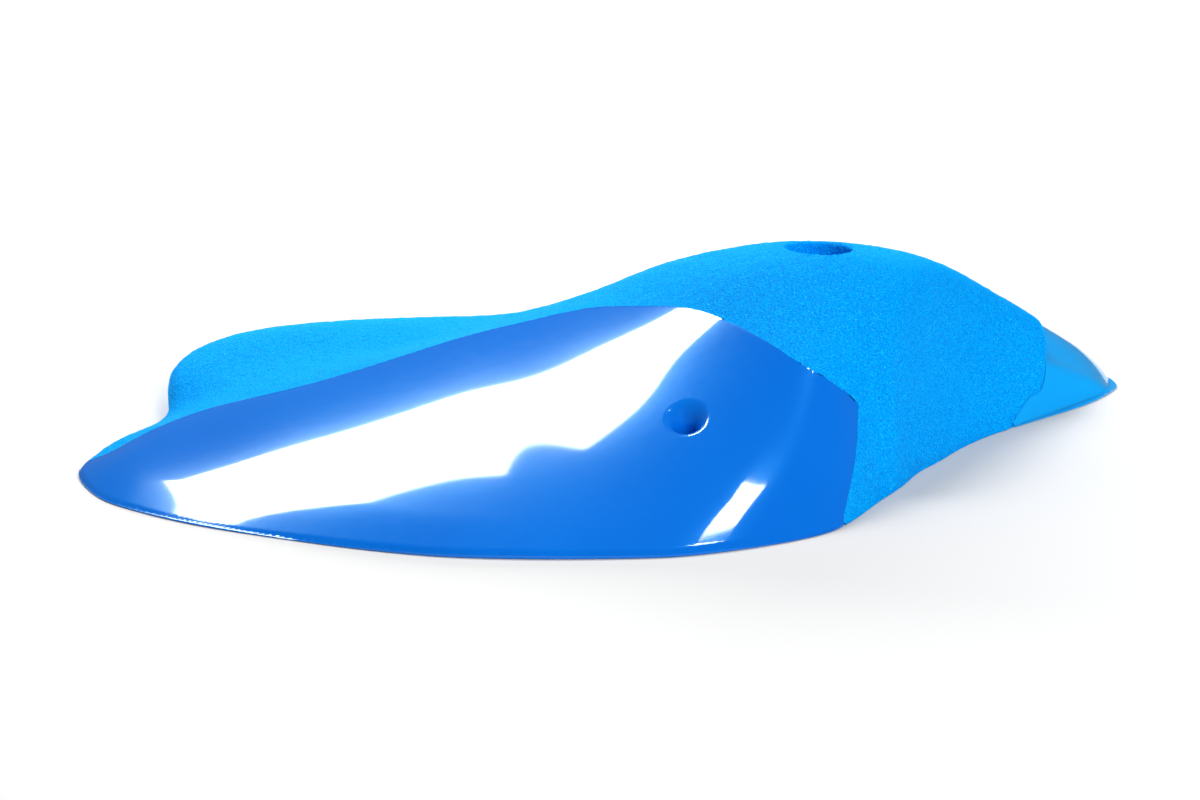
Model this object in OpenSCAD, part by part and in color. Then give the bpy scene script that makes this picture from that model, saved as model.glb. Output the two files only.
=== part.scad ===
// Dual-texture climbing hold: grainy cast body with two glossy zones, for one central bolt and one
// set screw. Frame: origin on the bolt axis at the flat back, +Z out of the wall, +X towards the
// short horn end, +Y towards the far side. Millimetres.

/* [Overall size] */

// Length of the hold along X, tip of the long arm to tip of the horn
hold_l = 351; // [280:1:430]
// Width of the hold along Y, front edge to far edge
hold_w = 226; // [180:1:275]
// Height of the crown above the back
hold_h = 63; // [52:0.5:76]

/* [Gloss panels] */

// Thickness of the front gloss panel, measured along Z
panel_t = 3.2; // [2.4:0.1:5]
// Height of the plain edge that the front panel shows at the wall
edge_h = 2; // [1.4:0.1:3]
// Gap left for the bond between a gloss panel and the body
bond_gap = 0.2; // [0.1:0.05:0.4]

/* [Bolt hole] */

// Diameter of the bolt bore
bolt_d = 11; // [9:0.5:13]
// Diameter of the recess for the bolt head
recess_d = 22; // [19:0.5:26]
// Height of the washer seat above the back
seat_z = 22; // [16:1:30]
// Thickness of the steel washer
washer_t = 2.5; // [1.5:0.1:4]
// How far the steel washer reaches under the wall of the recess, so that the casting holds it
washer_grip = 2; // [1:0.25:3]
// Clearance between the washer and the casting
washer_gap = 0.1; // [0.05:0.05:0.3]

/* [Set-screw hole] */

// Distance of the set screw from the bolt axis along X
screw_x = -46; // [-60:1:-30]
// Distance of the set screw from the bolt axis along Y
screw_y = -75; // [-85:1:-65]
// Diameter of the set-screw bore
screw_d = 6.4; // [5:0.2:8]
// Diameter of the funnel at its mouth
funnel_d = 13; // [10:0.5:16]
// Depth of the funnel below the surface
funnel_h = 4.5; // [3:0.5:7]

/* [Hollow back] */

// Wall left between the back cavity and the outer surface
wall_t = 9; // [7:0.5:12]
// Width of the flat rim that rests on the wall
rim_w = 9; // [7:0.5:14]
// Thickness of the ribs
rib_t = 4; // [3:0.5:6]
// Clear width of one rib cell
cell_w = 31; // [24:1:34]
// Diameter of the bosses around the bolt and the set screw
boss_d = 36; // [32:1:44]

/* [Hidden] */

$fn = 64;

// nominal size that the shape tables below are written for; the surface grid starts off the
// whole millimetres of the tables, so that none of their points falls on a grid line
sx = hold_l / 351;
sy = hold_w / 226;
sz = hold_h / 63;
grid = 5;
grid_x0 = -249.7;
grid_y0 = -136.2;
far = 200;
facet_end = 20;
washer_d = recess_d + 2 * washer_grip;

grip_color = [0.02, 0.62, 0.93];
gloss_color = [0.0, 0.42, 0.88];
steel_color = [0.62, 0.63, 0.65];

// plan outline at the wall, counter-clockwise from the tip of the long arm
outline = [
    [-241, -52], [-231, -73], [-216, -86], [-196, -98], [-170, -109], [-145, -118],
    [-121, -124], [-97, -126], [-73, -126], [-49, -124], [-25, -116], [-6, -106],
    [4, -95], [15, -76], [23, -63], [30, -49], [38, -38], [46, -26],
    [54, -16], [63, -7], [77, 5], [93, 19], [102, 29], [108, 38],
    [110, 44], [108, 54], [101, 68], [88, 82], [70, 92], [40, 99],
    [0, 100], [-60, 97], [-120, 90], [-165, 82], [-200, 68], [-214, 50],
    [-221, 32], [-221, 12], [-219, -3], [-223, -13], [-230, -24], [-237, -38]
];

// plan line of the lip where the grainy crown stops and the horn starts
lip = [
    [64, -7], [73, 7], [77.5, 12], [80, 17], [81, 23], [80.7, 27], [79.8, 32],
    [77.7, 37], [74, 42], [70, 47], [62, 60], [52, 76], [40, 99], [38, 130]
];

// heights of the grainy surface on a 30 mm net, one row for each X from -260, one column for
// each Y from -110
net_x0 = -260;
net_y0 = -110;
net_step = 30;
net = [
    [-2, -1, 0, 1, 3, 3, -6, -20, -50],
    [5, 6, 7, 8, 12, 11, 3, -18, -50],
    [13, 15, 17, 16, 17, 19, 11, -10, -50],
    [21, 23, 24, 23, 21, 23, 15, -4, -50],
    [30, 31, 32, 31, 25, 24, 17, 0, -50],
    [37, 38, 39, 38, 32, 26, 18, 3, -50],
    [41, 43, 44, 44, 41, 34, 21, 4, -48],
    [31, 37, 43, 51, 53, 45, 27, 5, -46],
    [20, 34, 46, 60, 60.5, 50, 30, 6, -44],
    [-4, 15, 40, 60.5, 61, 50, 30, 6, -44],
    [-20, 6, 30, 50, 54, 46, 30, 6, -46],
    [-5, 15, 30, 36, 37, 32, 22, 0, -50],
    [-20, 0, 10, 15, 16, 12, 4, -18, -60],
    [-60, -40, -25, -15, -12, -14, -22, -50, -80]
];

// steep right flank of the crown: Y of its foot and its slope, both against X
flank_foot = [
    [-60, -200], [-20, -138], [4, -97], [12, -82.5], [16, -74], [21, -67], [30, -52.5],
    [46, -28], [63, -8],
    [75, 3], [85, 12], [100, 28], [120, 52]
];
flank_slope = [[-60, 1.8], [0, 2], [20, 2.2], [32, 1.7], [60, 1.45], [120, 1.5]];
flank_round = 7;

// front facet against X: Y of its foot, slope, run up to the crease, and crown
facet_foot = [
    [-250, -40], [-240, -54], [-231, -73], [-216, -86], [-196, -98], [-170, -109],
    [-145, -118], [-121, -124], [-97, -126], [-73, -126], [-49, -124], [-25, -116],
    [-6, -105], [6, -94], [25, -71]
];
facet_slope = [
    [-250, 0.17], [-220, 0.19], [-200, 0.215], [-171, 0.275], [-121, 0.325],
    [-88, 0.34], [-63, 0.4], [-45, 0.48], [-24, 0.66], [-10, 0.85], [0, 0.95],
    [10, 0.95], [18, 0.78], [25, 0.6]
];
facet_run = [
    [-250, 6], [-240, 8], [-235, 17], [-226, 37], [-213, 54], [-200, 66], [-171, 78],
    [-121, 105], [-95, 115], [-78, 117], [-63, 110], [-45, 96], [-24, 67], [-10, 46],
    [4, 32], [12, 24], [18, 16], [25, 8]
];
facet_crown = [[-250, 0.2], [-200, 1.5], [-121, 4], [-63, 3.5], [-24, 1.5], [10, 0.3], [25, 0.1]];

// ---- curves ----

// cubic curve through a list of [x, y] points, x rising
function seg_of(c, x) = max([for (i = [0 : len(c) - 2]) if (i == 0 || c[i][0] <= x) i]);
function slope_at(c, i) =
    let (a = max(i - 1, 0), b = min(i + 1, len(c) - 1))
    (c[b][1] - c[a][1]) / (c[b][0] - c[a][0]);
function curve(c, x) =
    let (
        k = seg_of(c, x),
        h = c[k + 1][0] - c[k][0],
        t = min(max((x - c[k][0]) / h, 0), 1)
    )
    (2 * t ^ 3 - 3 * t ^ 2 + 1) * c[k][1] + (t ^ 3 - 2 * t ^ 2 + t) * h * slope_at(c, k)
    + (3 * t ^ 2 - 2 * t ^ 3) * c[k + 1][1] + (t ^ 3 - t ^ 2) * h * slope_at(c, k + 1);

// Catmull-Rom weights, and a smooth closed loop through plan points
function weights(t) = [
    -0.5 * t + t ^ 2 - 0.5 * t ^ 3,
    1 - 2.5 * t ^ 2 + 1.5 * t ^ 3,
    0.5 * t + 2 * t ^ 2 - 1.5 * t ^ 3,
    -0.5 * t ^ 2 + 0.5 * t ^ 3
];
function loop(p, steps) = [
    for (i = [0 : len(p) - 1], k = [0 : steps - 1])
        let (w = weights(k / steps), n = len(p))
        p[(i + n - 1) % n] * w[0] + p[i] * w[1] + p[(i + 1) % n] * w[2] + p[(i + 2) % n] * w[3]
];

// ---- surfaces, in nominal millimetres ----

function net_at(i, j) = net[min(max(i, 0), len(net) - 1)][min(max(j, 0), len(net[0]) - 1)];
function net_z(x, y) =
    let (
        u = min(max((x - net_x0) / net_step, 0), len(net) - 1.001),
        v = min(max((y - net_y0) / net_step, 0), len(net[0]) - 1.001),
        i = floor(u),
        j = floor(v),
        a = weights(u - i),
        b = weights(v - j),
        rows = [for (p = [0 : 3]) [for (q = [0 : 3]) net_at(i - 1 + p, j - 1 + q)] * b]
    )
    rows * a;

// grainy surface before it is fitted to the crease: the net, rounded into the steep right flank,
// with a scoop for the notch
function rough_z(x, y) =
    let (
        n = net_z(x, y),
        f = curve(flank_slope, x) * (y - curve(flank_foot, x)),
        m = min(max(0.5 + 0.5 * (f - n) / flank_round, 0), 1)
    )
    f * (1 - m) + n * m - flank_round * m * (1 - m)
    - 7 * exp(-((x + 228) / 20) ^ 2 - ((y + 9) / 15) ^ 2);

// crease between the facet and the grain
function crease_y(x) = curve(facet_foot, x) + curve(facet_run, x);
function crease_z(x) = edge_h / sz + curve(facet_slope, x) * curve(facet_run, x);

// grainy surface: drawn to the crease along it, and never thinner than the plain edge
function grain_z(x, y) =
    let (
        c = crease_y(x),
        fade = min(max((24 - x) / 6, 0), 1),
        lift = x > 24 ? 0 : fade * (crease_z(x) - rough_z(x, c))
    )
    max(edge_h / sz, rough_z(x, y) + lift * exp(-((y - c) / 18) ^ 2));

// front facet: crowned up to the crease, steeper past it so that it leaves the grain alone
function facet_z(x, y) =
    let (
        run = curve(facet_run, x),
        s = curve(facet_slope, x),
        c = curve(facet_crown, x),
        t = y - curve(facet_foot, x),
        u = t / run
    )
    x > facet_end + 2 ? far
    : edge_h / sz + s * min(t, run) + (u < 1 ? 4 * c * u * (1 - u) : (s + 0.6 + max(0, x - 5) / 5) * (t - run));

// horn: steep front flank, and a dished top that falls to the tip and to the far side
function horn_flank_z(x, y) = 1.5 - 2.1 * (0.71 * (x - 63) - 0.7 * (y + 7));
function horn_top_z(x, y) =
    let (
        t = min(max((y - 21 - 0.65 * (x - 81)) / 24, 0), 1)
    )
    21 - 0.62 * (x - 81) + 0.13 * (y - 23) - 5 * (1 - t * t * (3 - 2 * t))
    - 0.01 * max(0, x - 95) ^ 2 - 0.01 * max(0, y - 35) ^ 2;

function surface_z(kind, x, y) =
    kind == "grain" ? grain_z(x, y)
    : kind == "facet" ? facet_z(x, y)
    : kind == "horn_flank" ? horn_flank_z(x, y)
    : kind == "horn_top" ? horn_top_z(x, y)
    : min(grain_z(x, y), facet_z(x, y));

// ---- building blocks ----

// everything below one surface, lowered by drop, over a rectangle of nominal plan
module below(kind, drop = 0, step = grid, x_range = [grid_x0, 125], y_range = [grid_y0, 115]) {
    nx = floor((x_range[1] - x_range[0]) / step) + 1;
    ny = floor((y_range[1] - y_range[0]) / step) + 1;
    top = [
        for (i = [0 : nx - 1], j = [0 : ny - 1])
            let (x = x_range[0] + i * step, y = y_range[0] + j * step)
            [x * sx, y * sy, max(surface_z(kind, x, y) * sz - drop, -20)]
    ];
    bottom = [for (p = top) [p[0], p[1], -30]];
    n = nx * ny;
    cells = [for (i = [0 : nx - 2], j = [0 : ny - 2]) i * ny + j];
    top_faces = [for (c = cells, f = [[c, c + 1, c + ny + 1], [c, c + ny + 1, c + ny]]) f];
    bottom_faces = [for (f = top_faces) [f[0] + n, f[2] + n, f[1] + n]];
    rim = concat(
        [for (i = [0 : nx - 1]) i * ny],
        [for (j = [1 : ny - 1]) (nx - 1) * ny + j],
        [for (i = [nx - 2 : -1 : 0]) i * ny + ny - 1],
        [for (j = [ny - 2 : -1 : 1]) j]
    );
    side_faces = [
        for (k = [0 : len(rim) - 1])
            let (a = rim[k], b = rim[(k + 1) % len(rim)])
            [a, b, b + n, a + n]
    ];
    polyhedron(points = concat(top, bottom), faces = concat(top_faces, bottom_faces, side_faces));
}

module outline_2d() {
    polygon([for (p = loop(outline, 5)) [p[0] * sx, p[1] * sy]]);
}

// plan of everything on the crown side of the lip
module crown_side_2d() {
    polygon(concat(
        [[-300 * sx, 130 * sy], [-300 * sx, -150 * sy], [64 * sx, -150 * sy]],
        [for (p = lip) [p[0] * sx, p[1] * sy]]
    ));
}

// ridge where the front facet turns into the steep right flank, in plan
function ridge_y(x) =
    let (
        a = curve(flank_slope, x),
        b = curve(facet_slope, x)
    )
    (a * curve(flank_foot, x) - b * curve(facet_foot, x) + edge_h / sz) / (a - b);

// plan of the grainy zone: all beyond the crease, and all to the right of the ridge
module grain_zone_2d() {
    start = grid_x0 + grid / 2;
    polygon(concat(
        [for (x = [start : grid : facet_end]) [x * sx, crease_y(x) * sy]],
        [[facet_end * sx, (crease_y(facet_end) + ridge_y(facet_end)) / 2 * sy]],
        [for (x = [facet_end - 2 : -3 : -2]) [x * sx, ridge_y(x) * sy]],
        [[-2 * sx, -150 * sy], [125 * sx, -150 * sy], [125 * sx, 130 * sy], [start * sx, 130 * sy]]
    ));
}

module crown_solid(drop = 0) {
    intersection() {
        linear_extrude(hold_h * 2) intersection() {
            outline_2d();
            crown_side_2d();
        }
        below("grain", drop);
        below("facet", drop);
    }
}

// the part of the front facet that carries the gloss panel; grown by the bond gap for its seat
module panel_zone(gap) {
    difference() {
        translate([-300 * sx, -150 * sy, -40]) cube([330 * sx, 200 * sy, 200]);
        below("facet", panel_t + gap);
        translate([0, 0, -50]) linear_extrude(300) offset(delta = bond_gap / 2 - gap) grain_zone_2d();
    }
}

module bosses_2d() {
    circle(d = boss_d);
    translate([screw_x * sx, screw_y * sy]) circle(d = boss_d * 0.6);
}

module ribs_2d() {
    pitch = cell_w + rib_t;
    for (i = [-7 : 3]) {
        translate([i * pitch + boss_d / 2 - rib_t / 2, -200 * sy]) square([rib_t, 400 * sy]);
    }
    for (j = [-4 : 3]) {
        translate([-300 * sx, j * pitch + boss_d / 2 - rib_t / 2]) square([500 * sx, rib_t]);
    }
}

// open cells in the back, under a wall that follows the outer surface
module back_cells() {
    intersection() {
        translate([0, 0, -10]) linear_extrude(hold_h * 2) difference() {
            offset(delta = -rim_w) intersection() {
                outline_2d();
                crown_side_2d();
            }
            ribs_2d();
            bosses_2d();
        }
        below("crown", wall_t + panel_t, 10);
    }
}

// room for the boss, the washer and the bolt head
module bolt_room() {
    translate([0, 0, -1]) cylinder(d = boss_d, h = seat_z + 1);
    translate([0, 0, seat_z]) cylinder(d = washer_d, h = washer_t + washer_gap);
    translate([0, 0, seat_z + washer_t]) cylinder(d = recess_d, h = hold_h);
}

module screw_hole() {
    mouth = facet_z(screw_x, screw_y) * sz;
    translate([screw_x * sx, screw_y * sy, -1]) cylinder(d = screw_d, h = mouth + 20);
    translate([screw_x * sx, screw_y * sy, mouth - funnel_h])
        cylinder(d1 = screw_d, d2 = screw_d + 3 * (funnel_d - screw_d), h = funnel_h * 3);
}

// ---- pieces ----

// grainy cast body with a ribbed open back
module grip_body() {
    color(grip_color) difference() {
        resize([0, 0, 0]) difference() {
            crown_solid();
            panel_zone(bond_gap);
            back_cells();
        }
        bolt_room();
        screw_hole();
    }
}

// solid column of the casting around the bolt, which carries the washer; a node of its own, so
// that the recess above it stays open in collision
module bolt_boss() {
    color(grip_color) difference() {
        cylinder(d = boss_d - 2 * washer_gap, h = seat_z);
        translate([0, 0, -1]) cylinder(d = bolt_d, h = seat_z + 2);
    }
}

// glossy leaf that covers the front facet down to the wall
module front_gloss_panel() {
    color(gloss_color) difference() {
        resize([0, 0, 0]) intersection() {
            crown_solid();
            panel_zone(0);
        }
        screw_hole();
    }
}

// glossy horn beyond the lip
module rear_gloss_horn() {
    color(gloss_color) resize([0, 0, 0]) intersection() {
        linear_extrude(hold_h * 2) difference() {
            outline_2d();
            offset(delta = bond_gap) crown_side_2d();
        }
        below("horn_flank", 0, grid, [grid_x0 + 56 * grid, 120], [grid_y0 + 23 * grid, 115]);
        below("horn_top", 0, grid, [grid_x0 + 56 * grid, 120], [grid_y0 + 23 * grid, 115]);
    }
}

// steel washer held by the casting at the foot of the head recess
module bolt_washer() {
    color(steel_color) translate([0, 0, seat_z]) difference() {
        cylinder(d = washer_d - 2 * washer_gap, h = washer_t);
        translate([0, 0, -1]) cylinder(d = bolt_d, h = washer_t + 2);
    }
}

grip_body();
bolt_boss();
front_gloss_panel();
rear_gloss_horn();
bolt_washer();
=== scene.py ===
"""Looks of the dual-texture climbing hold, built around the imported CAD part."""

import math

import bpy
import numpy as np
from mathutils import Matrix, Vector

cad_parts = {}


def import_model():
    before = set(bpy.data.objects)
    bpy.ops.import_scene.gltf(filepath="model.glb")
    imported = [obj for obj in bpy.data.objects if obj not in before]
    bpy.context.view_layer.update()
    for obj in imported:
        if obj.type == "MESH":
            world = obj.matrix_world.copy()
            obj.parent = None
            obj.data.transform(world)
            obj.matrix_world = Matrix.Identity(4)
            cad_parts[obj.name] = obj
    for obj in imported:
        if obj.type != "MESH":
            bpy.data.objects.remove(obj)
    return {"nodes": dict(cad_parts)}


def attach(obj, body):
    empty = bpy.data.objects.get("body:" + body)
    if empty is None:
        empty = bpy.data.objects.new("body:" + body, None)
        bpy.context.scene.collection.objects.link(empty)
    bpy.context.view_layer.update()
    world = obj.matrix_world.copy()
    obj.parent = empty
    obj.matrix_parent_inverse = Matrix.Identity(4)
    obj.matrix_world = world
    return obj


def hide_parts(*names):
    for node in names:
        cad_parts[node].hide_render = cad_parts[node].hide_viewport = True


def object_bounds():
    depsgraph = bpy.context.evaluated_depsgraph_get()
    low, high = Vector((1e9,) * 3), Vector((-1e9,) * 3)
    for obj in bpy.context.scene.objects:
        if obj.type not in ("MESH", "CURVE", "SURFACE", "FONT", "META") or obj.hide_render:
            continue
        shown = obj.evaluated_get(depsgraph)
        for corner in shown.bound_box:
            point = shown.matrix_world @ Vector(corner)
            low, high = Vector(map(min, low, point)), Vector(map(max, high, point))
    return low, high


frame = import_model()
cad_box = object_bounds()

MM = 0.001
FAR = 200.0

# ---- the hold's own tables, in millimetres, as in the CAD source ----

EDGE = 2.0  # plain edge at the wall
OUTLINE = [
    (-241, -52), (-231, -73), (-216, -86), (-196, -98), (-170, -109), (-145, -118),
    (-121, -124), (-97, -126), (-73, -126), (-49, -124), (-25, -116), (-6, -106),
    (4, -95), (15, -76), (23, -63), (30, -49), (38, -38), (46, -26),
    (54, -16), (63, -7), (77, 5), (93, 19), (102, 29), (108, 38),
    (110, 44), (108, 54), (101, 68), (88, 82), (70, 92), (40, 99),
    (0, 100), (-60, 97), (-120, 90), (-165, 82), (-200, 68), (-214, 50),
    (-221, 32), (-221, 12), (-219, -3), (-223, -13), (-230, -24), (-237, -38),
]
LIP = [
    (64, -7), (73, 7), (77.5, 12), (80, 17), (81, 23), (80.7, 27), (79.8, 32),
    (77.7, 37), (74, 42), (70, 47), (62, 60), (52, 76), (40, 99), (38, 130),
]
NET_X0, NET_Y0, NET_STEP = -260.0, -110.0, 30.0
NET = np.array([
    (-2, -1, 0, 1, 3, 3, -6, -20, -50),
    (5, 6, 7, 8, 12, 11, 3, -18, -50),
    (13, 15, 17, 16, 17, 19, 11, -10, -50),
    (21, 23, 24, 23, 21, 23, 15, -4, -50),
    (30, 31, 32, 31, 25, 24, 17, 0, -50),
    (37, 38, 39, 38, 32, 26, 18, 3, -50),
    (41, 43, 44, 44, 41, 34, 21, 4, -48),
    (31, 37, 43, 51, 53, 45, 27, 5, -46),
    (20, 34, 46, 60, 60.5, 50, 30, 6, -44),
    (-4, 15, 40, 60.5, 61, 50, 30, 6, -44),
    (-20, 6, 30, 50, 54, 46, 30, 6, -46),
    (-5, 15, 30, 36, 37, 32, 22, 0, -50),
    (-20, 0, 10, 15, 16, 12, 4, -18, -60),
    (-60, -40, -25, -15, -12, -14, -22, -50, -80),
], float)
FLANK_FOOT = [
    (-60, -200), (-20, -138), (4, -97), (12, -82.5), (16, -74), (21, -67), (30, -52.5),
    (46, -28), (63, -8), (75, 3), (85, 12), (100, 28), (120, 52),
]
FLANK_SLOPE = [(-60, 1.8), (0, 2), (20, 2.2), (32, 1.7), (60, 1.45), (120, 1.5)]
FLANK_ROUND = [(-60, 5), (22, 5), (36, 12), (50, 12), (70, 8), (120, 7)]
FACET_FOOT = [
    (-250, -40), (-240, -54), (-231, -73), (-216, -86), (-196, -98), (-170, -109),
    (-145, -118), (-121, -124), (-97, -126), (-73, -126), (-49, -124), (-25, -116),
    (-6, -105), (6, -94), (25, -71),
]
FACET_SLOPE = [
    (-250, 0.17), (-220, 0.19), (-200, 0.215), (-171, 0.275), (-121, 0.325),
    (-88, 0.34), (-63, 0.4), (-45, 0.48), (-24, 0.66), (-10, 0.85), (0, 0.95),
    (10, 0.95), (18, 0.78), (25, 0.6),
]
FACET_RUN = [
    (-250, 6), (-240, 8), (-235, 17), (-226, 37), (-213, 54), (-200, 66), (-171, 78),
    (-121, 105), (-95, 115), (-78, 117), (-63, 110), (-45, 96), (-24, 67), (-10, 46),
    (4, 32), (12, 24), (18, 16), (25, 8),
]
FACET_CROWN = [
    (-250, 0.2), (-200, 1.5), (-121, 4), (-63, 3.5), (-24, 1.5), (10, 0.3), (25, 0.1),
]
PANEL_T = 3.2
RECESS_R, SEAT_Z, WASHER_T = 11.0, 22.0, 2.5
SCREW_X, SCREW_Y, SCREW_R, FUNNEL_R, FUNNEL_H = -46.0, -75.0, 3.2, 6.5, 4.5
WALL_T, RIM_W, RIB_T, CELL_W, BOSS_R = 9.0, 9.0, 4.0, 31.0, 18.0
FACET_END = 22  # X past which there is no facet
LIFT_W = 18.0  # how far behind the crease the grain is lifted to meet the leaf
SCREW_END, LEAF_BORE_END = 19.0, 18.0  # heights where the two walls of the set-screw hole end


# ---- small maths ----

def curve(points, x):
    """Cubic curve through (x, y) points, x rising."""
    p = np.asarray(points, float)
    px, py = p[:, 0], p[:, 1]
    n = len(px)
    slope = np.array([
        (py[min(i + 1, n - 1)] - py[max(i - 1, 0)]) / (px[min(i + 1, n - 1)] - px[max(i - 1, 0)])
        for i in range(n)
    ])
    k = np.clip(np.searchsorted(px, x, side="right") - 1, 0, n - 2)
    h = px[k + 1] - px[k]
    t = np.clip((x - px[k]) / h, 0, 1)
    return (
        (2 * t**3 - 3 * t**2 + 1) * py[k] + (t**3 - 2 * t**2 + t) * h * slope[k]
        + (3 * t**2 - 2 * t**3) * py[k + 1] + (t**3 - t**2) * h * slope[k + 1]
    )


def weights(t):
    return np.stack([
        -0.5 * t + t * t - 0.5 * t**3,
        1 - 2.5 * t * t + 1.5 * t**3,
        0.5 * t + 2 * t * t - 1.5 * t**3,
        -0.5 * t * t + 0.5 * t**3,
    ], -1)


def bicubic(table, x0, y0, step, x, y):
    u = np.clip((x - x0) / step, 0, table.shape[0] - 1.001)
    v = np.clip((y - y0) / step, 0, table.shape[1] - 1.001)
    i, j = np.floor(u).astype(int), np.floor(v).astype(int)
    a, b = weights(u - i), weights(v - j)
    out = 0.0
    for p in range(4):
        row = np.clip(i - 1 + p, 0, table.shape[0] - 1)
        for q in range(4):
            col = np.clip(j - 1 + q, 0, table.shape[1] - 1)
            out = out + a[..., p] * b[..., q] * table[row, col]
    return out


def gauss(sigma):
    r = int(math.ceil(3 * sigma))
    k = np.exp(-0.5 * (np.arange(-r, r + 1) / sigma) ** 2)
    return k / k.sum()


def blur1(line, sigma):
    k = gauss(sigma)
    return np.convolve(np.pad(line, len(k) // 2, mode="edge"), k, mode="valid")


def blur2(table, sigma):
    table = np.apply_along_axis(blur1, 0, table, sigma)
    return np.apply_along_axis(blur1, 1, table, sigma)


def smooth_loop(points, steps):
    p = np.asarray(points, float)
    n = len(p)
    w = weights(np.arange(steps) / steps)
    return np.concatenate([
        w @ np.stack([p[i - 1], p[i], p[(i + 1) % n], p[(i + 2) % n]]) for i in range(n)
    ])


def smooth_line(points, steps):
    p = np.asarray(points, float)
    w = weights(np.arange(steps) / steps)
    out = [
        w @ np.stack([p[max(i - 1, 0)], p[i], p[i + 1], p[min(i + 2, len(p) - 1)]])
        for i in range(len(p) - 1)
    ]
    return np.concatenate(out + [p[-1:]])


def signed_distance(polygon, x, y):
    """Distance to a closed polygon, positive inside."""
    best = np.full(x.shape, 1e9)
    inside = np.zeros(x.shape, bool)
    nxt = np.roll(polygon, -1, 0)
    for (ax, ay), (bx, by) in zip(polygon, nxt):
        dx, dy = bx - ax, by - ay
        t = np.clip(((x - ax) * dx + (y - ay) * dy) / max(dx * dx + dy * dy, 1e-12), 0, 1)
        best = np.minimum(best, np.hypot(x - ax - t * dx, y - ay - t * dy))
        if ay != by:
            inside ^= ((ay > y) != (by > y)) & (x < ax + (y - ay) * dx / dy)
    return np.where(inside, best, -best)


def smin(a, b, k):
    h = np.clip(0.5 + 0.5 * (b - a) / k, 0, 1)
    return b * (1 - h) + a * h - k * h * (1 - h)


# ---- smooth fields on a base grid ----

GRID = 1.5
GX = np.arange(-270, 141, GRID)
GY = np.arange(-165, 141, GRID)
BX, BY = np.meshgrid(GX, GY, indexing="ij")


def field(table):
    return lambda x, y: bicubic(table, GX[0], GY[0], GRID, x, y)


def facet_table():
    t = BY - curve(FACET_FOOT, BX)
    u = t / curve(FACET_RUN, BX)
    crown = 4 * curve(FACET_CROWN, BX) * np.where(u > 0, u * (1 - u), 0)
    return EDGE + curve(FACET_SLOPE, BX) * t + np.maximum(crown, -6)


def rough_table():
    net = bicubic(NET, NET_X0, NET_Y0, NET_STEP, BX, BY)
    flank = curve(FLANK_SLOPE, BX) * (BY - curve(FLANK_FOOT, BX))
    scoop = 7 * np.exp(-(((BX + 228) / 20) ** 2) - ((BY + 9) / 15) ** 2)
    return smin(net, flank, curve(FLANK_ROUND, BX)) - scoop


def eased(x, low, high):
    t = np.clip((x - low) / (high - low), 0, 1)
    return t * t * (3 - 2 * t)


def blend(calm, sharp, x):
    """The calm one over the long leaf, the sharp one at its right end."""
    w = eased(x, -30, 5)
    return calm * (1 - w) + sharp * w


# gentle swells and dips of the cast leaf: height, centre X and Y, spread
SWELLS = [(-0.45, -64, -95, 20), (1.1, -47, -32, 16), (-1.3, -196, -108, 24)]


def swell(x, y):
    return sum(
        a * np.exp(-((x - cx) ** 2 + (y - cy) ** 2) / (2 * s * s)) for a, cx, cy, s in SWELLS
    )


rough_f = field(blur2(rough_table(), 2.6))
CREASE = curve(FACET_FOOT, GX) + curve(FACET_RUN, GX)
CREASE = blend(blur1(CREASE, 3.5), blur1(CREASE, 0.8), GX)
facet_f = field(
    blend(blur2(facet_table(), 5.0), blur2(facet_table(), 1.0), BX) + swell(BX, BY)
)
outline_f = field(signed_distance(smooth_loop(OUTLINE, 6), BX, BY))
LIP_LINE = smooth_line(LIP, 6)
lip_f = field(signed_distance(
    np.concatenate([[(-300, 130), (-300, -170), (64, -170)], LIP_LINE]), BX, BY
))


def crease_y(x):
    return np.interp(x, GX, CREASE)


def grain_z(x, y):
    """Height of the grainy surface."""
    c = crease_y(x)
    fade = np.clip((24 - x) / 6, 0, 1)
    lift = fade * (facet_f(x, c) - rough_f(x, c))
    return np.maximum(EDGE, rough_f(x, y) + lift * np.exp(-(((y - c) / LIFT_W) ** 2)))


def facet_z(x, y):
    """Height of the leaf, rising steeply past the crease so that the grain takes over there."""
    c = crease_y(x)
    past = np.maximum(0, y - c)
    steep = curve(FACET_SLOPE, x) + 0.6 + np.maximum(0, x - 5) / 5
    return np.where(x > FACET_END, FAR, facet_f(x, np.minimum(y, c)) + steep * past)


def edge_drop(x, y, z):
    """How far the surface rounds down towards the outline."""
    r = np.clip(0.45 * z, 1.6, 5.0)
    away = np.maximum(outline_f(x, y), 0)
    left = eased(-x, 90, 150)
    roll = (0.5 + 0.45 * left) * np.clip(1 - away / (14 + 2 * left), 0, 1) ** 2
    return 0.5 * (r - np.minimum(away, r)) ** 2 / r + roll


def crown_z(x, y):
    """The outer surface: the lower of grain and leaf, rounded off near the right ridge."""
    k = 0.03 + 2.4 * np.clip((x + 2) / 12, 0, 1) * np.clip((-58 - y) / 8, 0, 1)
    z = smin(grain_z(x, y), facet_z(x, y), k)
    return smin(z - edge_drop(x, y, z), 0.25, -0.5)


def horn_z(x, y):
    """The horn: a steep flank under a drooping top with a dish at the front."""
    flank = 1.5 - 2.1 * (0.71 * (x - 63) - 0.7 * (y + 7))
    top = (
        21 - 0.62 * (x - 81) + 0.13 * (y - 23)
        - 0.01 * np.maximum(0, x - 95) ** 2 - 0.01 * np.maximum(0, y - 35) ** 2
    )
    dish = 5 * (1 - eased(y - 21 - 0.65 * (x - 81), 0, 24))
    z = smin(flank, top - dish, 3.0)
    return smin(z - edge_drop(x, y, z), 0.3, -0.5)


# ---- meshes over a plan region ----

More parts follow.
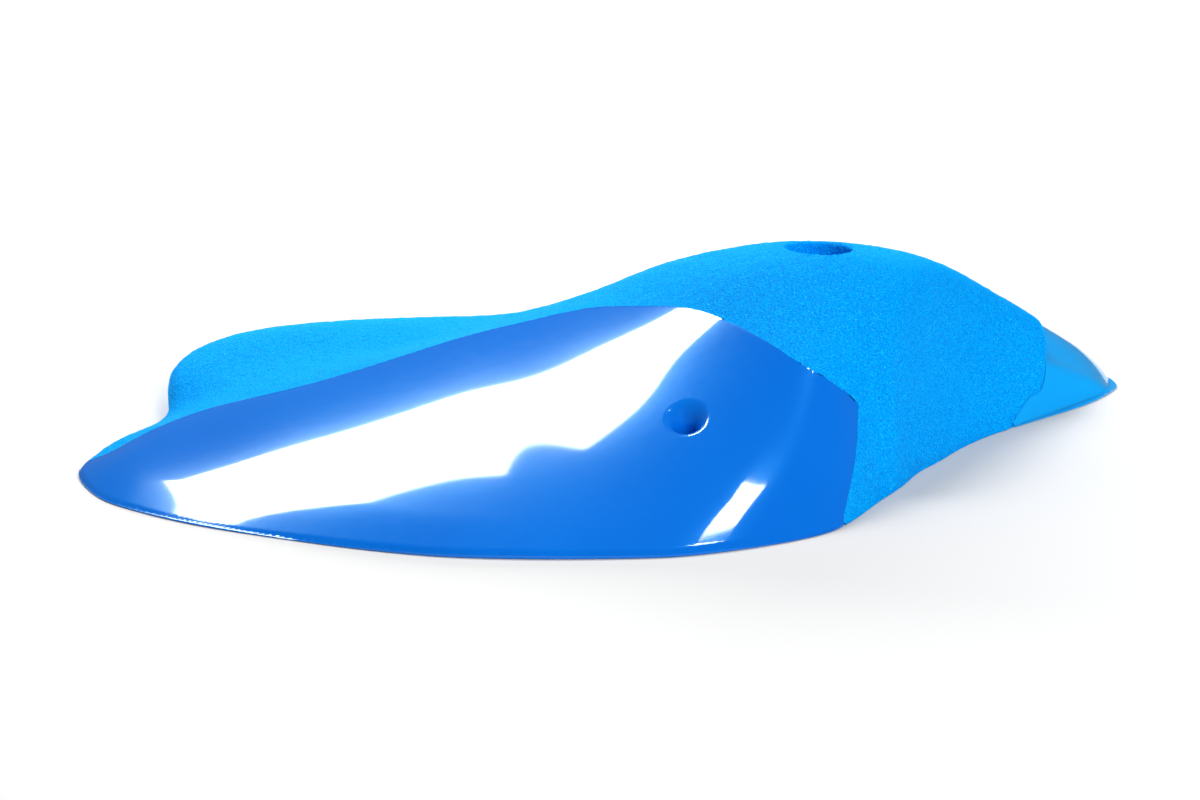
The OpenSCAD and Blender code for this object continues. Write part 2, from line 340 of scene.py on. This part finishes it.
def cut_region(xs, ys, inside_of):
    """Grid mesh of the plan where inside_of(x, y) > 0, with its border on the zero line."""
    x, y = np.meshgrid(xs, ys, indexing="ij")
    g = inside_of(x, y)
    eps = 0.05
    gx = (inside_of(x + eps, y) - inside_of(x - eps, y)) / (2 * eps)
    gy = (inside_of(x, y + eps) - inside_of(x, y - eps)) / (2 * eps)
    size = np.maximum(gx * gx + gy * gy, 1e-6)
    step = min(xs[1] - xs[0], ys[1] - ys[0])
    snap = np.abs(g) / np.sqrt(size) < 0.3 * step
    x = np.where(snap, x - g * gx / size, x)
    y = np.where(snap, y - g * gy / size, y)
    g = np.where(snap, 0.0, g)
    keep = g >= 0
    number = -np.ones(g.shape, int)
    number[keep] = np.arange(keep.sum())
    points = [np.stack([x[keep], y[keep]], 1)]
    count = int(keep.sum())
    c00, c10, c11, c01 = (slice(0, -1), slice(0, -1)), (slice(1, None), slice(0, -1)), \
        (slice(1, None), slice(1, None)), (slice(0, -1), slice(1, None))
    corners = np.stack([g[c00], g[c10], g[c11], g[c01]], -1)
    numbers = np.stack([number[c00], number[c10], number[c11], number[c01]], -1)
    whole = (corners >= 0).all(-1) & (corners > 0).any(-1)
    faces = [tuple(f) for f in numbers[whole].tolist()]
    mixed = (corners > 0).any(-1) & (corners < 0).any(-1)
    crossing, extra = {}, []
    offsets = ((0, 0), (1, 0), (1, 1), (0, 1))
    for i, j in zip(*np.nonzero(mixed)):
        ring = []
        for k in range(4):
            a = (i + offsets[k][0], j + offsets[k][1])
            b = (i + offsets[(k + 1) % 4][0], j + offsets[(k + 1) % 4][1])
            if g[a] >= 0:
                ring.append(number[a])
            if g[a] * g[b] < 0:
                key = (min(a, b), max(a, b))
                if key not in crossing:
                    t = g[key[0]] / (g[key[0]] - g[key[1]])
                    crossing[key] = count + len(extra)
                    extra.append((
                        x[key[0]] + t * (x[key[1]] - x[key[0]]),
                        y[key[0]] + t * (y[key[1]] - y[key[0]]),
                    ))
                ring.append(crossing[key])
        if len(ring) >= 3:
            faces.append(tuple(int(r) for r in ring))
    if extra:
        points.append(np.array(extra))
    points = np.concatenate(points)
    used = np.zeros(len(points), bool)
    used[np.concatenate([np.array(f) for f in faces])] = True
    renumber = np.cumsum(used) - 1
    return points[used], [tuple(int(renumber[v]) for v in f) for f in faces]


def border_edges(faces):
    seen = {}
    for f in faces:
        for k in range(len(f)):
            a, b = f[k], f[(k + 1) % len(f)]
            if (b, a) in seen:
                del seen[(b, a)]
            else:
                seen[(a, b)] = True
    return list(seen)


def surface_normals(z_of, x, y, step=0.2):
    gx = (z_of(x + step, y) - z_of(x - step, y)) / (2 * step)
    gy = (z_of(x, y + step) - z_of(x, y - step)) / (2 * step)
    n = np.stack([-gx, -gy, np.ones_like(gx)], 1)
    return n / np.linalg.norm(n, axis=1, keepdims=True)


class Shape:
    """Vertices, faces and optional shading normals gathered for one object."""

    def __init__(self):
        self.verts, self.faces, self.normals, self.count = [], [], [], 0

    def add(self, verts, faces, normals=None):
        base = self.count
        self.verts.append(np.asarray(verts, float))
        self.faces += [tuple(v + base for v in f) for f in faces]
        self.normals.append(
            np.zeros((len(verts), 3)) if normals is None else np.asarray(normals, float)
        )
        self.count += len(verts)
        return base

    def build(self, name, material, use_normals=True):
        verts = np.concatenate(self.verts) * MM
        mesh = bpy.data.meshes.new(name)
        mesh.from_pydata(verts.tolist(), [], self.faces)
        mesh.update()
        mesh.polygons.foreach_set("use_smooth", np.ones(len(mesh.polygons), bool))
        if use_normals:
            mesh.normals_split_custom_set_from_vertices(np.concatenate(self.normals).tolist())
        mesh.materials.append(material)
        o = bpy.data.objects.new(name, mesh)
        bpy.context.scene.collection.objects.link(o)
        return o


def skirt(shape, top, edges, depth_of, rows=2):
    """Wall hanging from the border of a top surface; own vertices, so that the edge stays crisp."""
    ids = sorted({v for e in edges for v in e})
    at = {v: k for k, v in enumerate(ids)}
    rim = top[ids]
    out = np.zeros((len(ids), 3))
    for a, b in edges:
        d = top[b][:2] - top[a][:2]
        n = np.array([d[1], -d[0], 0.0])
        out[at[a]] += n
        out[at[b]] += n
    out /= np.maximum(np.linalg.norm(out, axis=1, keepdims=True), 1e-9)
    low = depth_of(rim[:, 0], rim[:, 1])
    rings = []
    for k in range(rows):
        f = k / (rows - 1)
        ring = rim.copy()
        ring[:, 2] = rim[:, 2] * (1 - f) + np.minimum(low, rim[:, 2]) * f
        rings.append(ring)
    n = len(ids)
    faces = [
        (at[b] + k * n, at[a] + k * n, at[a] + (k + 1) * n, at[b] + (k + 1) * n)
        for a, b in edges for k in range(rows - 1)
    ]
    shape.add(np.concatenate(rings), faces, np.tile(out, (rows, 1)))


# ---- grain ----

class Noise:
    """Repeatable value noise on a lattice, from 0 to 1."""

    def __init__(self, seed):
        self.table = np.random.RandomState(seed).rand(64, 64, 64)

    def __call__(self, p, cell):
        q = p / cell
        i = np.floor(q).astype(int)
        f = q - i
        f = f * f * (3 - 2 * f)
        out = 0.0
        for a in (0, 1):
            for b in (0, 1):
                for c in (0, 1):
                    w = (
                        (f[:, 0] if a else 1 - f[:, 0])
                        * (f[:, 1] if b else 1 - f[:, 1])
                        * (f[:, 2] if c else 1 - f[:, 2])
                    )
                    out = out + w * self.table[
                        (i[:, 0] + a) % 64, (i[:, 1] + b) % 64, (i[:, 2] + c) % 64
                    ]
        return out


noise_a, noise_b, noise_c = Noise(11), Noise(23), Noise(37)


def grain_height(p):
    sand = noise_a(p, 1.25) * 0.6 + noise_b(p, 2.1) * 0.4
    lumps = noise_c(p, 7.0)
    return 0.55 * (sand - 0.5) + 0.22 * (lumps - 0.5)


# ---- materials ----

def node_material(name):
    m = bpy.data.materials.new(name)
    m.use_nodes = True
    nt = m.node_tree
    return m, nt, nt.nodes["Principled BSDF"]


def object_coords(nt, scale=(1, 1, 1)):
    c = nt.nodes.new("ShaderNodeTexCoord")
    mp = nt.nodes.new("ShaderNodeMapping")
    mp.inputs["Scale"].default_value = scale
    nt.links.new(c.outputs["Object"], mp.inputs["Vector"])
    return mp.outputs["Vector"]


def noise_node(nt, vector, scale, detail=2.0, rough=0.5):
    n = nt.nodes.new("ShaderNodeTexNoise")
    n.inputs["Scale"].default_value = scale
    n.inputs["Detail"].default_value = detail
    n.inputs["Roughness"].default_value = rough
    nt.links.new(vector, n.inputs["Vector"])
    return n.outputs["Fac"]


def ramp_node(nt, fac, stops):
    r = nt.nodes.new("ShaderNodeValToRGB")
    e = r.color_ramp.elements
    while len(e) < len(stops):
        e.new(0.5)
    for k, (pos, col) in enumerate(stops):
        e[k].position = pos
        e[k].color = (*col, 1)
    nt.links.new(fac, r.inputs["Fac"])
    return r.outputs["Color"]


def mix_node(nt, fac, a, b, kind="MIX"):
    m = nt.nodes.new("ShaderNodeMix")
    m.data_type = "RGBA"
    m.blend_type = kind
    if isinstance(fac, float):
        m.inputs["Factor"].default_value = fac
    else:
        nt.links.new(fac, m.inputs["Factor"])
    nt.links.new(a, m.inputs["A"])
    nt.links.new(b, m.inputs["B"])
    return m.outputs["Result"]


def range_node(nt, fac, low, high):
    m = nt.nodes.new("ShaderNodeMapRange")
    m.inputs["To Min"].default_value = low
    m.inputs["To Max"].default_value = high
    nt.links.new(fac, m.inputs["Value"])
    return m.outputs["Result"]


def bump_node(nt, height, strength, distance, normal=None):
    b = nt.nodes.new("ShaderNodeBump")
    b.inputs["Strength"].default_value = strength
    b.inputs["Distance"].default_value = distance
    nt.links.new(height, b.inputs["Height"])
    if normal is not None:
        nt.links.new(normal, b.inputs["Normal"])
    return b.outputs["Normal"]


def grain_material():
    m, nt, p = node_material("grain_cast_blue")
    v = object_coords(nt)
    sand = noise_node(nt, v, 1700, 3.0, 0.6)
    flecks = nt.nodes.new("ShaderNodeTexVoronoi")
    flecks.inputs["Scale"].default_value = 1300
    nt.links.new(v, flecks.inputs["Vector"])
    patches = noise_node(nt, v, 22, 2.0)
    # The grain's colour follows the same sand noise as its bump: painted shade, deeper blue in the
    # pits, and painted highlight, paler blue on the peaks.
    body = ramp_node(nt, sand, [
        (0.34, (0.000, 0.250, 0.78)), (0.50, (0.000, 0.350, 0.90)),
        (0.62, (0.000, 0.460, 0.96)), (0.74, (0.060, 0.620, 1.00)),
    ])
    tone = ramp_node(nt, patches, [(0.3, (0.90, 0.95, 0.97)), (0.7, (1.0, 1.0, 1.0))])
    body = mix_node(nt, 1.0, body, tone, "MULTIPLY")
    # Pale flecks lightened into the grain colour: painted glints of the sand's sparkle.
    fleck_glints = ramp_node(nt, flecks.outputs["Distance"], [
        (0.08, (0.16, 0.66, 0.98)), (0.22, (0.0, 0.0, 0.0)),
    ])
    body = mix_node(nt, 0.35, body, fleck_glints, "LIGHTEN")
    nt.links.new(body, p.inputs["Base Color"])
    nt.links.new(range_node(nt, sand, 0.48, 0.72), p.inputs["Roughness"])
    p.inputs["Specular IOR Level"].default_value = 0.05
    n1 = bump_node(nt, flecks.outputs["Distance"], 0.5, 0.0005)
    nt.links.new(bump_node(nt, sand, 0.8, 0.0006, n1), p.inputs["Normal"])
    return m


def gloss_material(name, deep, light):
    m, nt, p = node_material(name)
    v = object_coords(nt)
    cloud = noise_node(nt, v, 14, 2.0)
    base = ramp_node(nt, cloud, [(0.3, deep), (0.7, light)])
    nt.links.new(base, p.inputs["Base Color"])
    fine = noise_node(nt, v, 420, 2.0)
    nt.links.new(range_node(nt, fine, 0.16, 0.24), p.inputs["Roughness"])
    p.inputs["Specular IOR Level"].default_value = 0.35
    p.inputs["Specular Tint"].default_value = (0.02, 0.55, 1.0, 1)
    p.inputs["Coat Weight"].default_value = 1.0
    p.inputs["Coat Roughness"].default_value = 0.05
    peel = noise_node(nt, v, 60, 1.0)
    nt.links.new(bump_node(nt, peel, 0.06, 0.0004), p.inputs["Normal"])
    return m


def back_material():
    m, nt, p = node_material("back_cast_blue")
    v = object_coords(nt)
    pores = noise_node(nt, v, 260, 3.0, 0.6)
    base = ramp_node(nt, pores, [(0.35, (0.000, 0.24, 0.66)), (0.65, (0.005, 0.36, 0.82))])
    nt.links.new(base, p.inputs["Base Color"])
    nt.links.new(range_node(nt, pores, 0.4, 0.6), p.inputs["Roughness"])
    nt.links.new(bump_node(nt, pores, 0.3, 0.0004), p.inputs["Normal"])
    return m


def steel_material():
    m, nt, p = node_material("plated_steel")
    v = object_coords(nt, (1, 1, 12))
    lines = noise_node(nt, v, 700, 3.0)
    base = ramp_node(nt, lines, [(0.3, (0.42, 0.43, 0.45)), (0.7, (0.60, 0.61, 0.63))])
    nt.links.new(base, p.inputs["Base Color"])
    p.inputs["Metallic"].default_value = 1.0
    nt.links.new(range_node(nt, lines, 0.28, 0.45), p.inputs["Roughness"])
    nt.links.new(bump_node(nt, lines, 0.15, 0.0002), p.inputs["Normal"])
    return m


GRAIN, BACK, STEEL = grain_material(), back_material(), steel_material()
LEAF = gloss_material("gloss_leaf_blue", (0.000, 0.160, 0.64), (0.000, 0.190, 0.70))
# The horn has the same gloss coat as the leaf; its lighter cyan blue is painted light.
HORN_LIT = gloss_material("gloss_horn_lit_blue", (0.000, 0.360, 0.84), (0.000, 0.400, 0.90))


# ---- pieces ----

def lines_between(low, high, step):
    return np.linspace(low, high, int(round((high - low) / step)) + 1)


def around(x, y, cx, cy):
    return np.hypot(x - cx, y - cy)


# round patches of finer mesh about the recess and the funnel
COLLAR_R = RECESS_R + 4.0
CUP_R = FUNNEL_R + 4.0


def ring_faces(rows, turns):
    """Faces between neighbouring rings of points."""
    return [
        (k * turns + j, k * turns + (j + 1) % turns,
         (k + 1) * turns + (j + 1) % turns, (k + 1) * turns + j)
        for k in range(rows - 1) for j in range(turns)
    ]


def turned_patch(cx, cy, radii, drops, turns, z_of):
    """Rings round a hole's axis: each ring has its radius and its drop below the surface."""
    a = np.arange(turns) * 2 * math.pi / turns
    rows = []
    for r, drop in zip(radii, drops):
        x, y = cx + r * np.cos(a), cy + r * np.sin(a)
        rows.append(np.stack([x, y, z_of(x, y) - drop], 1))
    return rows


def grip_casting():
    shape = Shape()

    def zone(x, y):
        return np.minimum.reduce([
            outline_f(x, y), lip_f(x, y), facet_z(x, y) - grain_z(x, y),
            around(x, y, 0, 0) - COLLAR_R,
        ])

    xs = lines_between(-243, 84, 0.9)
    ys = lines_between(-127, 102, 0.9)
    pts, faces = cut_region(xs, ys, zone)
    z = crown_z(pts[:, 0], pts[:, 1])
    nrm = surface_normals(crown_z, pts[:, 0], pts[:, 1])
    top = np.column_stack([pts, z])
    x, y = pts[:, 0], pts[:, 1]
    near = np.minimum.reduce([outline_f(x, y), lip_f(x, y), facet_z(x, y) - grain_z(x, y)])
    calm = np.clip(near / 1.2, 0, 1)
    top += nrm * (grain_height(top) * calm)[:, None]
    shape.add(top, faces)
    edges = border_edges(faces)
    outer = [
        e for e in edges if around(top[e[0]][0], top[e[0]][1], 0, 0) > COLLAR_R + 1
    ]
    wall = [
        e for e in outer
        if facet_z(top[e[0]][0], top[e[0]][1]) - grain_z(top[e[0]][0], top[e[0]][1]) > 0.3
        or lip_f(top[e[0]][0], top[e[0]][1]) < 0.05
    ]
    skirt(shape, top, wall, lambda x, y: np.zeros_like(x), rows=6)

    # collar: the recess with its rounded rim, down to the washer
    turns = 150
    fillet = 1.6
    radii = list(np.linspace(COLLAR_R + 0.15, RECESS_R + fillet, 6))
    drops = [0.03] + [0.0] * 5
    for k in range(1, 6):
        a = k / 5 * math.pi / 2
        radii.append(RECESS_R + fillet * (1 - math.sin(a)))
        drops.append(fillet * (1 - math.cos(a)))
    rows = turned_patch(0, 0, radii, drops, turns, crown_z)
    last = rows[-1]
    deep = SEAT_Z + WASHER_T
    for k in range(1, 37):
        row = last.copy()
        row[:, 2] = last[:, 2] + (deep - last[:, 2]) * k / 36
        rows.append(row)
    collar = np.concatenate(rows)
    grid = collar.reshape(-1, turns, 3)
    du = np.gradient(grid, axis=0)
    dv = (np.roll(grid, -1, 1) - np.roll(grid, 1, 1))
    n = np.cross(dv, du).reshape(-1, 3)
    n /= np.maximum(np.linalg.norm(n, axis=1, keepdims=True), 1e-9)
    flip = np.where((n[:, 2] > 0.02) | ((n[:, :2] * collar[:, :2]).sum(1) < 0), 1.0, -1.0)
    n *= flip[:, None]
    collar = collar + n * grain_height(collar)[:, None]
    shape.add(collar, ring_faces(len(rows), turns))
    return shape.build("grip_casting", GRAIN, use_normals=False)


def cell_field():
    """Signed distance into the open cells of the back."""
    rim = np.minimum(outline_f(BX, BY), lip_f(BX, BY)) - RIM_W
    pitch = CELL_W + RIB_T
    first = BOSS_R
    u = (BX - first) % pitch
    v = (BY - first) % pitch
    bars = np.minimum(
        np.minimum(u, pitch - u) - RIB_T / 2, np.minimum(v, pitch - v) - RIB_T / 2
    )
    bosses = np.minimum(
        around(BX, BY, 0, 0) - BOSS_R, around(BX, BY, SCREW_X, SCREW_Y) - BOSS_R * 0.6
    )
    return smin(smin(rim, bars, 3.0), bosses, 2.0)


def roof_field():
    """How high the cells may go and still leave the wall."""
    low = np.minimum(grain_z(BX, BY), facet_z(BX, BY)) - WALL_T - PANEL_T
    return blur2(np.maximum(low, 0), 2.0)


cells_f, roof_f = field(cell_field()), field(roof_field())


def back_z(x, y):
    """Height of the open back: flat at the rim and ribs, up into the cells elsewhere."""
    into = cells_f(x, y)
    lift = np.clip((into + 0.4) * 7.0, 0, None)
    return np.maximum(0.0, smin(lift, roof_f(x, y), 3.0) - 0.15)


def grip_back():
    shape = Shape()

    def zone(x, y):
        return np.minimum.reduce([
            outline_f(x, y), lip_f(x, y), around(x, y, 0, 0) - BOSS_R,
            around(x, y, SCREW_X, SCREW_Y) - SCREW_R,
            facet_z(x, y) - PANEL_T - 0.02,
        ])

    pts, faces = cut_region(lines_between(-243, 84, 1.15), lines_between(-127, 102, 1.15), zone)
    z = back_z(pts[:, 0], pts[:, 1])
    shape.add(np.column_stack([pts, z]), [tuple(reversed(f)) for f in faces])
    # bore of the set screw
    turns = 64
    a = np.arange(turns) * 2 * math.pi / turns
    rows = [
        np.stack([
            SCREW_X + SCREW_R * np.cos(a), SCREW_Y + SCREW_R * np.sin(a), np.full(turns, h)
        ], 1)
        for h in np.linspace(0, SCREW_END, 8)
    ]
    shape.add(np.concatenate(rows), ring_faces(8, turns))
    return shape.build("grip_back", BACK, use_normals=False)


def gloss_leaf():
    shape = Shape()

    def zone(x, y):
        return np.minimum.reduce([
            outline_f(x, y), lip_f(x, y), grain_z(x, y) - facet_z(x, y),
            around(x, y, SCREW_X, SCREW_Y) - CUP_R, 23.0 - x, crease_y(x) + 3.0 - y,
        ])

    pts, faces = cut_region(lines_between(-243, 24, 0.85), lines_between(-128, 2, 0.85), zone)
    x, y = pts[:, 0], pts[:, 1]
    top = np.column_stack([pts, crown_z(x, y)])
    shape.add(top, faces, surface_normals(crown_z, x, y))
    edges = border_edges(faces)
    rim = [
        e for e in edges
        if around(top[e[0]][0], top[e[0]][1], SCREW_X, SCREW_Y) > CUP_R + 1
    ]
    skirt(shape, top, rim, lambda a, b: np.maximum(facet_z(a, b) - PANEL_T, 0.0), rows=3)
    under = np.column_stack([pts, np.maximum(facet_z(x, y) - PANEL_T, 0.0)])
    under[:, 2] = np.minimum(under[:, 2], top[:, 2])
    shape.add(under, [tuple(reversed(f)) for f in faces], -surface_normals(facet_z, x, y))

    # funnel and bore of the set screw
    turns = 96
    radii = list(np.linspace(CUP_R + 0.1, FUNNEL_R + 1.2, 5))
    drops = [0.01, 0, 0, 0, 0]
    for r, d in (
        (FUNNEL_R + 0.6, 0.06), (FUNNEL_R, 0.25), (FUNNEL_R - 0.6, 0.62),
        (FUNNEL_R - 1.3, 1.25), (FUNNEL_R - 2.0, 2.1), (SCREW_R + 0.7, 3.1),
        (SCREW_R + 0.25, 4.0), (SCREW_R, FUNNEL_H + 0.4),
    ):
        radii.append(r)
        drops.append(d)
    rows = turned_patch(SCREW_X, SCREW_Y, radii, drops, turns, crown_z)
    last = rows[-1]
    for k in range(1, 9):
        row = last.copy()
        row[:, 2] = last[:, 2] + (LEAF_BORE_END - last[:, 2]) * k / 8
        rows.append(row)
    pts3 = np.concatenate(rows)
    grid = pts3.reshape(-1, turns, 3)
    n = np.cross(np.roll(grid, -1, 1) - np.roll(grid, 1, 1), np.gradient(grid, axis=0))
    n = n.reshape(-1, 3)
    n /= np.maximum(np.linalg.norm(n, axis=1, keepdims=True), 1e-9)
    centre = np.array([SCREW_X, SCREW_Y])
    wrong = (n[:, 2] < -0.02) | (
        (np.abs(n[:, 2]) <= 0.02) & ((n[:, :2] * (pts3[:, :2] - centre)).sum(1) > 0)
    )
    n[wrong] *= -1
    flat = len(drops[:5]) * turns
    n[:flat] = surface_normals(crown_z, pts3[:flat, 0], pts3[:flat, 1])
    shape.add(pts3, ring_faces(len(rows), turns), n)
    return shape.build("gloss_leaf", LEAF)


def gloss_horn():
    shape = Shape()

    def zone(x, y):
        return np.minimum.reduce([outline_f(x, y), -lip_f(x, y) - 0.1, y + 25, x - 30])

    pts, faces = cut_region(lines_between(30, 112, 0.8), lines_between(-22, 103, 0.8), zone)
    x, y = pts[:, 0], pts[:, 1]
    top = np.column_stack([pts, horn_z(x, y)])
    shape.add(top, faces, surface_normals(horn_z, x, y))
    skirt(shape, top, border_edges(faces), lambda a, b: np.zeros_like(a), rows=4)
    under = np.column_stack([pts, np.zeros(len(pts))])
    down = np.tile([0.0, 0.0, -1.0], (len(pts), 1))
    shape.add(under, [tuple(reversed(f)) for f in faces], down)
    return shape.build("gloss_horn", HORN_LIT)


casting, back, leaf, horn = grip_casting(), grip_back(), gloss_leaf(), gloss_horn()
for piece, node, slot in (
    (casting, "grip_body", "grip"), (back, "grip_body", "grip"),
    (leaf, "front_gloss_panel", "gloss"), (horn, "rear_gloss_horn", "gloss"),
):
    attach(piece, "root")
    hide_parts(node)

for node, look in (("bolt_washer", STEEL), ("bolt_boss", BACK)):
    for s in frame["nodes"][node].material_slots:
        s.material = look

# ---- stage ----

def floor():
    size = 6.0
    mesh = bpy.data.meshes.new("floor")
    z = float(cad_box[0][2]) - 0.0002
    mesh.from_pydata(
        [(-size, -size, z), (size, -size, z), (size, size, z), (-size, size, z)], [],
        [(0, 1, 2, 3)],
    )
    o = bpy.data.objects.new("floor", mesh)
    bpy.context.scene.collection.objects.link(o)
    m, nt, p = node_material("white_ground")
    tone = noise_node(nt, object_coords(nt), 3, 1.0)
    base = ramp_node(nt, tone, [(0.3, (0.69, 0.69, 0.69)), (0.7, (0.71, 0.71, 0.71))])
    nt.links.new(base, p.inputs["Base Color"])
    p.inputs["Roughness"].default_value = 0.9
    p.inputs["Specular IOR Level"].default_value = 0.1
    mesh.materials.append(m)


def area_light(name, at, towards, along, size_x, size_y, watts, mirrored=True):
    """Softbox at a place, facing another, its long side lying along a direction."""
    light = bpy.data.lights.new(name, "AREA")
    light.shape = "RECTANGLE"
    light.size, light.size_y = size_x, size_y
    light.energy = watts
    o = bpy.data.objects.new(name, light)
    bpy.context.scene.collection.objects.link(o)
    z = (Vector(at) - Vector(towards)).normalized()
    x = Vector(along)
    x = (x - z * x.dot(z)).normalized()
    y = z.cross(x)
    o.matrix_world = Matrix((
        (x[0], y[0], z[0], at[0]), (x[1], y[1], z[1], at[1]), (x[2], y[2], z[2], at[2]),
        (0, 0, 0, 1),
    ))
    o.visible_glossy = mirrored
    return o


def world():
    w = bpy.data.worlds.new("studio")
    w.use_nodes = True
    w.node_tree.nodes["Background"].inputs["Color"].default_value = (1, 1, 1, 1)
    w.node_tree.nodes["Background"].inputs["Strength"].default_value = 0.12
    bpy.context.scene.world = w


def camera():
    cam = bpy.data.cameras.new("camera")
    cam.lens = 85
    cam.sensor_width = 36
    o = bpy.data.objects.new("camera", cam)
    bpy.context.scene.collection.objects.link(o)
    elevation, reach = math.radians(18.0), 0.944
    target = np.array([-0.073, -0.015, 0.0136])
    back_dir = np.array([0.0, -math.cos(elevation), math.sin(elevation)])
    o.location = target + reach * back_dir
    o.rotation_euler = (math.pi / 2 - elevation, 0, 0)
    bpy.context.scene.camera = o


floor()
world()
camera()
area_light(
    "top_box", (-0.395, 0.596, 0.972), (-0.073, -0.06, 0.02), (0.957, 0.065, 0.286),
    0.50, 0.32, 8,
)
area_light(
    "small_box", (0.24, -0.04, 1.0), (-0.035, -0.105, 0.01), (0.85, -0.53, 0.0),
    0.14, 0.055, 0.6,
)
area_light(
    "fill_box", (0.9, -1.5, 1.1), (-0.05, 0.0, 0.02), (1, 0, 0),
    1.2, 1.2, 30, mirrored=False,
)
area_light(
    "back_box", (-0.3, 2.2, 0.75), (-0.05, 0.0, 0.02), (1, 0, 0),
    2.4, 0.5, 54, mirrored=False,
)

view = bpy.context.scene.view_settings
view.view_transform = "Standard"
view.look = "Medium High Contrast"
view.exposure = 0.15
